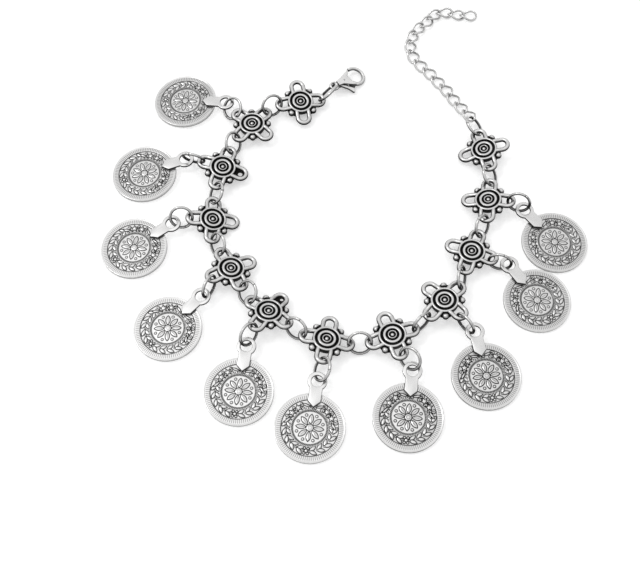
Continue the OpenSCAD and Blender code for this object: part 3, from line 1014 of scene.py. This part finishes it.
def struck_face(x, y):
    """Height of the face over its field and the tarnish number."""
    k = Relief(x, y)
    k.height += DOME * smooth(MEDALLION_R, 0.5, k.r)
    wreath(k)
    upper_band(k)
    rosette(k)
    band = smooth(BAND_R, BAND_R + 0.14, k.r) * smooth(6.8, 6.7, k.r)
    field = 0.06 * band * smooth(0.1, 0.02, k.height)
    line = np.maximum(k.line * 0.95, field) * (k.r < RING_LINE_R) * (np.abs(k.r - 4.4) > 0.24)
    rope = ROPE_H * smooth(0.0, 0.08, 0.24 - np.abs(k.r - ROPE_R))
    rim = np.maximum(BORDER_H * smooth(6.86, BORDER_R, k.r), LIP_H * smooth(LIP_R, 8.2, k.r))
    return np.maximum(np.maximum(k.height, rope), rim), line


test = struck_face(np.linspace(-8.4, 8.4, 60), np.zeros(60))
print("height from %.2f to %.2f" % (test[0].min(), test[0].max()))

# %% [markdown]
# The points of the face. A square grid would waste points and fray at the
# rim, so the face is a fan of rings. Fewer points are needed near the middle
# and in the plain border, so a ring has 112, 224 or 448 of them.

# %% A fan of rings
COARSE, MEDIUM, FINE = 112, 224, 448  # points in a ring
ZONES = [  # points, first radius, last radius, step
    (COARSE, 0.1, 1.1, 0.1),
    (MEDIUM, 1.1, 2.4, 0.08),
    (FINE, 2.4, 7.0, 0.08),
    (MEDIUM, 7.0, 7.82, 0.2),
]
BORDER_RINGS = (7.82, 8.02, LIP_R, 8.14, 8.2, 8.36)


def fan(rings):
    """Points and faces of rings of points, each with the same count or twice or half the last."""
    points, faces, start = [], [], 0
    for k, (count, r, z) in enumerate(rings):
        a = np.linspace(0, 2 * math.pi, count, endpoint=False)
        points.append(np.column_stack([r * np.cos(a), r * np.sin(a), np.full(count, float(z))]))
        last = rings[k - 1][0] if k else 0
        old, new = start - last, start
        if last == count:
            for i in range(count):
                j = (i + 1) % count
                faces.append((old + i, new + i, new + j, old + j))
        elif k and count == 2 * last:
            for i in range(last):
                j = (i + 1) % last
                faces.append((old + i, new + 2 * i, new + 2 * i + 1, new + 2 * j, old + j))
        elif k:
            for i in range(count):
                j = (i + 1) % count
                faces.append((old + 2 * i, new + i, new + j, old + 2 * j, old + 2 * i + 1))
        start += count
    return np.vstack(points), faces


def face_rings():
    rings = []
    for count, lo, hi, step in ZONES:
        steps = int(round((hi - lo) / step)) + 1
        rings += [(count, r, 0.0) for r in np.linspace(lo, hi, steps)[:-1]]
    return rings + [(MEDIUM, r, 0.0) for r in BORDER_RINGS]


print("rings", len(face_rings()))

# %% [markdown]
# The coin as a solid. Face, edge and back are one fan. The bail is a plate
# with rounded edges, pointed where it is soldered to the face, with painted
# shade on its edges and a fine painted shadow round it on the face. The
# coin's edge and back get painted shade too. Coins 7 and 8 were polished
# less, so the tarnish and painted shade on them are spread wider.

# %% Coins
EDGE = [  # radius, height, painted shade
    (COIN_R - 0.08, COIN_T - 0.01, 0.0),
    (COIN_R - 0.03, COIN_T - 0.04, 0.05),
    (COIN_R, COIN_T - 0.1, 0.3),
    (COIN_R, 0.5, 0.55),
    (COIN_R, EDGE_CUT, 0.7),
    (COIN_R - 0.03, 0.04, 0.6),
    (COIN_R - EDGE_CUT, 0.0, 0.25),
    (7.8, 0.0, 0.05),
    (7.7, 0.05, 0.3),
    (4.0, 0.05, 0.15),
    (0.6, 0.05, 0.15),
]
BACK = 0.05  # height of the back's middle
BAIL_TIP = [(4.95, 0.0), (5.46, -0.545), (6.4, -STRAP_W / 2)]  # one side of its point
BAIL_SLOPE, BAIL_SCALE = 0.935, 0.73  # the point's slant, and what makes it a distance
GRIME_AND_SHADE = {7: 0.55, 8: 0.65}  # spread of tarnish and painted shade on the coins that were polished less, by number


def bail_distance(x, y):
    """How far a point of the face lies outside the bail."""
    point = (BAIL_TIP[0][0] - x + np.abs(y) * BAIL_SLOPE) * BAIL_SCALE
    return np.maximum(np.abs(y) - STRAP_W / 2, point)


def add_struck_coin(s):
    rings = face_rings()
    n = sum(count for count, _, _ in rings)
    points, faces = fan(rings + [(MEDIUM, r, z) for r, z, _ in EDGE])
    height, line = struck_face(points[:n, 0], points[:n, 1])
    points[:n, 2] = FIELD + height
    # Painted shadow: a fine dark line on the face round the bail.
    bail_shadow = 0.5 * smooth(0.15, 0.04, np.abs(bail_distance(points[:n, 0], points[:n, 1])))
    edge_tags = [np.full(MEDIUM, tag) for _, _, tag in EDGE]
    tags = np.concatenate([np.maximum(line, bail_shadow)] + edge_tags + [[0.0, 0.15]])
    struck = np.concatenate([np.ones(n), np.zeros(MEDIUM * len(EDGE) + 2)])
    top, back, last = len(points), len(points) + 1, len(points) - MEDIUM
    middle = FIELD + struck_face(np.zeros(1), np.zeros(1))[0][0]
    points = np.vstack([points, [[0, 0, middle], [0, 0, BACK]]])
    faces += [(top, i, (i + 1) % COARSE) for i in range(COARSE)]
    faces += [(back, last + (i + 1) % MEDIUM, last + i) for i in range(MEDIUM)]
    s.add(points, faces, tags, struck)


def bail_outlines():
    half = STRAP_W / 2
    join = BAIL_REACH - math.sqrt(EYE_R**2 - half**2)
    lean = math.degrees(math.asin(half / EYE_R))
    along = np.linspace(7.4, join - 0.1, 4)
    out = BAIL_TIP + [(v, -half) for v in along]
    out += arc(BAIL_REACH, 0, EYE_R, lean - 180, 180 - lean, 40)
    out += [(v, half) for v in along[::-1]] + [(x, -y) for x, y in BAIL_TIP[:0:-1]]
    return [out, arc(BAIL_REACH, 0, EYE_HOLE_R, 0, 360, 41)[:-1]]


def coin_mesh():
    s = Shell()
    add_struck_coin(s)
    # Sides 1.7 paints dark shade on the bail's edges, so its outline shows.
    thicken(s, bail_outlines(), COIN_T, COIN_T + STRAP_T, 0.16, sides=1.7)
    return s.mesh("coin")


shared = coin_mesh()
for i, row in enumerate(COINS, 1):
    node = "coin_drop_%d" % i
    spread = GRIME_AND_SHADE.get(i, 1.0)
    put(node + "_struck", shared, coin_place(row), node, "coin_metal", under_shade=0, spread=spread)
print("coin triangles", triangles(shared))

# %% [markdown]
# Jump rings. A ring is a length of wire bent round, so its two cut ends meet
# with a hair between them. A torus would show no joint, so the wire is swept
# a little short of a whole turn. The cut faces away from the pieces that the
# ring joins, and the ring's inner side gets painted shade.

# %% Jump rings
def ring_mesh(name, outer, wire):
    r = (outer - wire) / 2
    gap = RING_CUT / (2 * r)
    a = np.linspace(math.pi / 2 + gap, math.pi / 2 + 2 * math.pi - gap, 73)
    path = np.column_stack([r * np.cos(a), r * np.sin(a), 0 * a])
    p, f = tube(path, wire / 2, 14, closed=False)
    s = Shell()
    # Painted shade on the inner side of the wire.
    s.add(p, f, 0.85 * smooth(r, r - 0.8 * wire / 2, np.hypot(p[:, 0], p[:, 1])))
    return s.mesh(name)


def put_ring(node, mesh, matrix):
    put(node + "_wire", mesh, matrix, node, "ring_metal", reach=0.64)


shared = ring_mesh("jump_ring", RING_D, RING_WIRE)
for i, (a, la, b, lb, roll, lift, sway) in enumerate(JUMP_RINGS, 1):
    m = ring_place(loop_spot(a, la), loop_spot(b, lb), roll, lift, sway)
    put_ring("jump_ring_%d" % i, shared, m)
for i in range(1, len(COIN_RINGS) + 1):
    put_ring("coin_ring_%d" % i, shared, coin_ring_place(i))
start = loop_spot(12, 1)
end = np.array(LINKS[0]) - link_along(0) * (LINK_L / 2 - LINK_WIRE)
put_ring("chain_ring", shared, ring_place(start, end, *CHAIN_RING_POSE))
start = loop_spot(1, 0)
end = towards(CLASP_EYE, start, TAIL_SEAT)
big = ring_mesh("clasp_ring", CLASP_RING_D, RING_WIRE)
put_ring("clasp_ring", big, ring_place(start, end, *CLASP_RING_POSE))
print("ring triangles", triangles(shared))

# %% [markdown]
# The extender chain. A curb link is an oval of wire whose two ends are
# twisted opposite ways, so that the links lie flat and pass through each
# other. A bought chain would be an array along a curve. These sixteen lie as
# the photograph shows, so each link is placed from its own row and turned
# along its neighbours. All sixteen are one piece.

# %% Extender chain
def chain_mesh():
    s = Shell()
    half_l, half_w = (LINK_L - LINK_WIRE) / 2, (LINK_W - LINK_WIRE) / 2
    t = np.linspace(0, 2 * math.pi, 48, endpoint=False)
    twist = math.radians(LINK_TWIST) * np.cos(t)
    across = half_w * np.sin(t)
    path = np.column_stack([half_l * np.cos(t), across * np.cos(twist), across * np.sin(twist)])
    p, f = tube(path, LINK_WIRE / 2, 10)
    centre = np.hypot(p[:, 0] / half_l, p[:, 1] / half_w)
    # Painted shade on the inner side of each link.
    tag = 0.25 * smooth(0.95, 0.8, centre)
    for i, row in enumerate(LINKS):
        along = link_along(i)
        m = place(row, along, np.array([0, 0, 1.0]) - along * along[2])
        s.add((m @ np.column_stack([p, np.ones(len(p))]).T).T[:, :3], f, tag)
    return s.mesh("extender_chain_wire")


chain = chain_mesh()
put("extender_chain_wire", chain, np.eye(4), "extender_chain", "chain_metal", under_shade=0.7)
print("chain triangles", triangles(chain))

# %% [markdown]
# The clasp. The body is two cheeks with a slot between them, a tail eye of
# wire and a round claw with an open tip. The lever is a flat plate on the
# pivot pin: its gate closes the claw, and its trigger stands out below. The
# flat parts are drawn as outlines, in millimetres from the tail eye.

# %% The clasp's outlines
CHEEK = [
    (0.95, -0.75),
    (0.95, 0.75),
    (2.3, 1.15),
    (3.6, 1.35),
    (4.6, 1.2),
    (5.05, 0.5),
    (5.15, -0.4),
    (5.45, -1.1),
    (6.3, -1.9),
    (5.9, -2.55),
    (4.7, -2.05),
    (2.5, -0.85),
]
GATE = [
    (1.9, 0.2),
    (2.1, 1.0),
    (3.0, 1.5),
    (5.0, 2.35),
    (6.45, 2.9),
    (6.6, 2.55),
    (5.95, 1.9),
    (5.5, 1.2),
    (5.0, 0.4),
    (3.6, -0.6),
]
TRIGGER = [
    (1.75, -0.1),
    (1.65, -0.8),
    (2.4, -1.6),
    (3.2, -2.4),
    (3.75, -3.3),
    (4.05, -4.0),
    (4.4, -4.15),
    (4.85, -3.75),
    (5.1, -3.1),
    (4.5, -2.55),
    (3.85, -2.0),
    (3.6, -1.3),
    (3.6, -0.2),
]
NECK = [(0.97, -0.7), (0.97, 0.72), (1.5, 0.85), (1.3, 0.05), (1.5, -0.75)]
ROOT = [(4.75, -1.15), (5.35, -1.15), (6.25, -1.9), (5.88, -2.5), (4.7, -2.0), (4.4, -1.82)]
PIN_ROWS = (-1.13, -0.5, 0.5, 1.13)
CLAW_SWEEP = (-140, 104)  # degrees from its root to its tip
HUB_R, BORE_R = 0.9, 0.36
print("points", len(CHEEK), len(GATE), len(TRIGGER))

# %% [markdown]
# Body and lever. The real ones are cast and stamped. Plates with rounded
# edges and swept wire give the same forms with few numbers.

# %% Clasp


def clasp_body_mesh():
    s = Shell()
    for z0, z1 in ((SLOT_H / 2, CLASP_T / 2), (-CLASP_T / 2, -SLOT_H / 2)):
        thicken(s, [CHEEK], z0, z1, 0.2)
    for outline, tag in ((NECK, 0.5), (ROOT, 0.4)):
        thicken(s, [outline], -SLOT_H / 2 - 0.1, SLOT_H / 2 + 0.1, 0.02, tag)
    a = np.radians(np.linspace(0, 360, 49)[:-1])
    r = (TAIL_D - TAIL_WIRE) / 2
    p, f = tube(np.column_stack([r * np.cos(a), r * np.sin(a), 0 * a]), TAIL_WIRE / 2, 14)
    # Painted shade on the tail eye's inner side.
    s.add(p, f, 0.6 * smooth(r, r - TAIL_WIRE / 2, np.hypot(p[:, 0], p[:, 1])))
    p, f = tube([(PIVOT[0], PIVOT[1], z) for z in PIN_ROWS], PIN_R, 20, closed=False)
    s.add(p, f, 0.15)
    a = np.radians(np.linspace(*CLAW_SWEEP, 65))
    path = np.column_stack([CLAW_REACH + CLAW_R * np.cos(a), CLAW_Y + CLAW_R * np.sin(a), 0 * a])
    p, f = tube(path, CLAW_WIRE / 2, 18, closed=False)
    reach = np.hypot(p[:, 0] - CLAW_REACH, p[:, 1] - CLAW_Y)
    # Painted shade on the claw's inner side.
    s.add(p, f, 0.5 * smooth(CLAW_R - 0.1, CLAW_R - 0.5, reach))
    return s.mesh("clasp_body_cast")


def clasp_lever_mesh():
    s = Shell()
    half = LEVER_T / 2
    for outline in (GATE, TRIGGER):
        thicken(s, [outline], -half, half, 0.14)
    hub = arc(PIVOT[0], PIVOT[1], HUB_R, 0, 360, 41)[:-1]
    bore = arc(PIVOT[0], PIVOT[1], BORE_R, 0, 360, 31)[:-1]
    thicken(s, [hub, bore], -half, half, 0.05, 0.3)
    return s.mesh("clasp_lever_plate")


m = clasp_place()
body, lever = clasp_body_mesh(), clasp_lever_mesh()
put("clasp_body_cast", body, m, "clasp_body", "clasp_metal", reach=0.62)
put("clasp_lever_plate", lever, m, "clasp_lever", "clasp_metal", "clasp_lever", reach=0.62)
print("clasp triangles", triangles(body) + triangles(lever))

# %% [markdown]
# The table and the light. The photograph is high key: white paper that burns
# out, soft light from above and only faint shadows. Silver shows what it
# reflects, so the sky matters more than the lamp. It is brightest almost
# straight up, a little to the left and back, has a darker belt round that
# and fades to a third at the horizon, which puts a darker tone on whatever
# turns away from above. The paper glows a little by itself, as a lit sweep
# does, and one small lamp at the left gives the shadows their side.

# %% Floor and light
FLOOR_HALF, FLOOR_Z = 9, -0.00005  # metres
PAPER_GLOW, SKY_STRENGTH, KEY_SIZE, KEY_POWER = 0.42, 1.2, 0.16, 1.0
floor_mesh = bpy.data.meshes.new("floor")
corners = [(x * FLOOR_HALF, y * FLOOR_HALF, 0) for x, y in ((-1, -1), (1, -1), (1, 1), (-1, 1))]
floor_mesh.from_pydata(corners, [], [(0, 1, 2, 3)])
floor = bpy.data.objects.new("floor", floor_mesh)
floor.location = (0, 0, FLOOR_Z)
scene.collection.objects.link(floor)
paper = Nodes(bpy.data.materials.new("floor_paper"), "Principled BSDF")
paper.shader.inputs["Base Color"].default_value = (0.93, 0.93, 0.93, 1)
paper.shader.inputs["Roughness"].default_value = 0.9
paper.shader.inputs["Emission Color"].default_value = (1, 1, 1, 1)
paper.shader.inputs["Emission Strength"].default_value = PAPER_GLOW
floor_mesh.materials.append(paper.owner)
floor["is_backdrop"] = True

BRIGHTEST = Vector((-0.2, 0.15, 0.95)).normalized()
SKY = [  # nearness to the brightest direction, tone
    (0.0, 0.3),
    (0.22, 0.36),
    (0.4, 0.46),
    (0.62, 0.7),
    (0.88, 0.64),
    (0.94, 0.74),
    (0.985, 0.97),
    (1.0, 1.0),
]
sky = Nodes(bpy.data.worlds.new("studio"), "Background")
scene.world = sky.owner
direction = sky.new("ShaderNodeTexCoord").out("Generated")
nearness = sky.new("ShaderNodeVectorMath", {"operation": "DOT_PRODUCT"}, {0: direction, 1: BRIGHTEST})
tones = sky.new("ShaderNodeValToRGB", {"stops": SKY}, {0: nearness.out("Value")})
sky.put(sky.shader.inputs["Color"], tones.out())
sky.shader.inputs["Strength"].default_value = SKY_STRENGTH

key = bpy.data.lights.new("key", "AREA")
key.shape, key.size, key.energy = "DISK", KEY_SIZE, KEY_POWER
key_obj = bpy.data.objects.new("key", key)
key_obj.location = (-0.55, 0.1, 0.9)
key_obj.rotation_euler = key_obj.location.to_track_quat("Z", "Y").to_euler()
scene.collection.objects.link(key_obj)
scene.view_settings.view_transform = "Standard"

# %% [markdown]
# The boxes. The dressed pieces have to fill the same box as the solids that
# they replace. Both boxes are printed in metres, low corner first.

# %% Print both boxes and finish
def plain(v):
    return [plain(c) for c in v] if hasattr(v, "__len__") else float(v)


visual_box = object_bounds()
{"cad": plain(cad_box), "visual": plain(visual_box)}
print("cad", plain(cad_box))
print("visual", plain(visual_box))
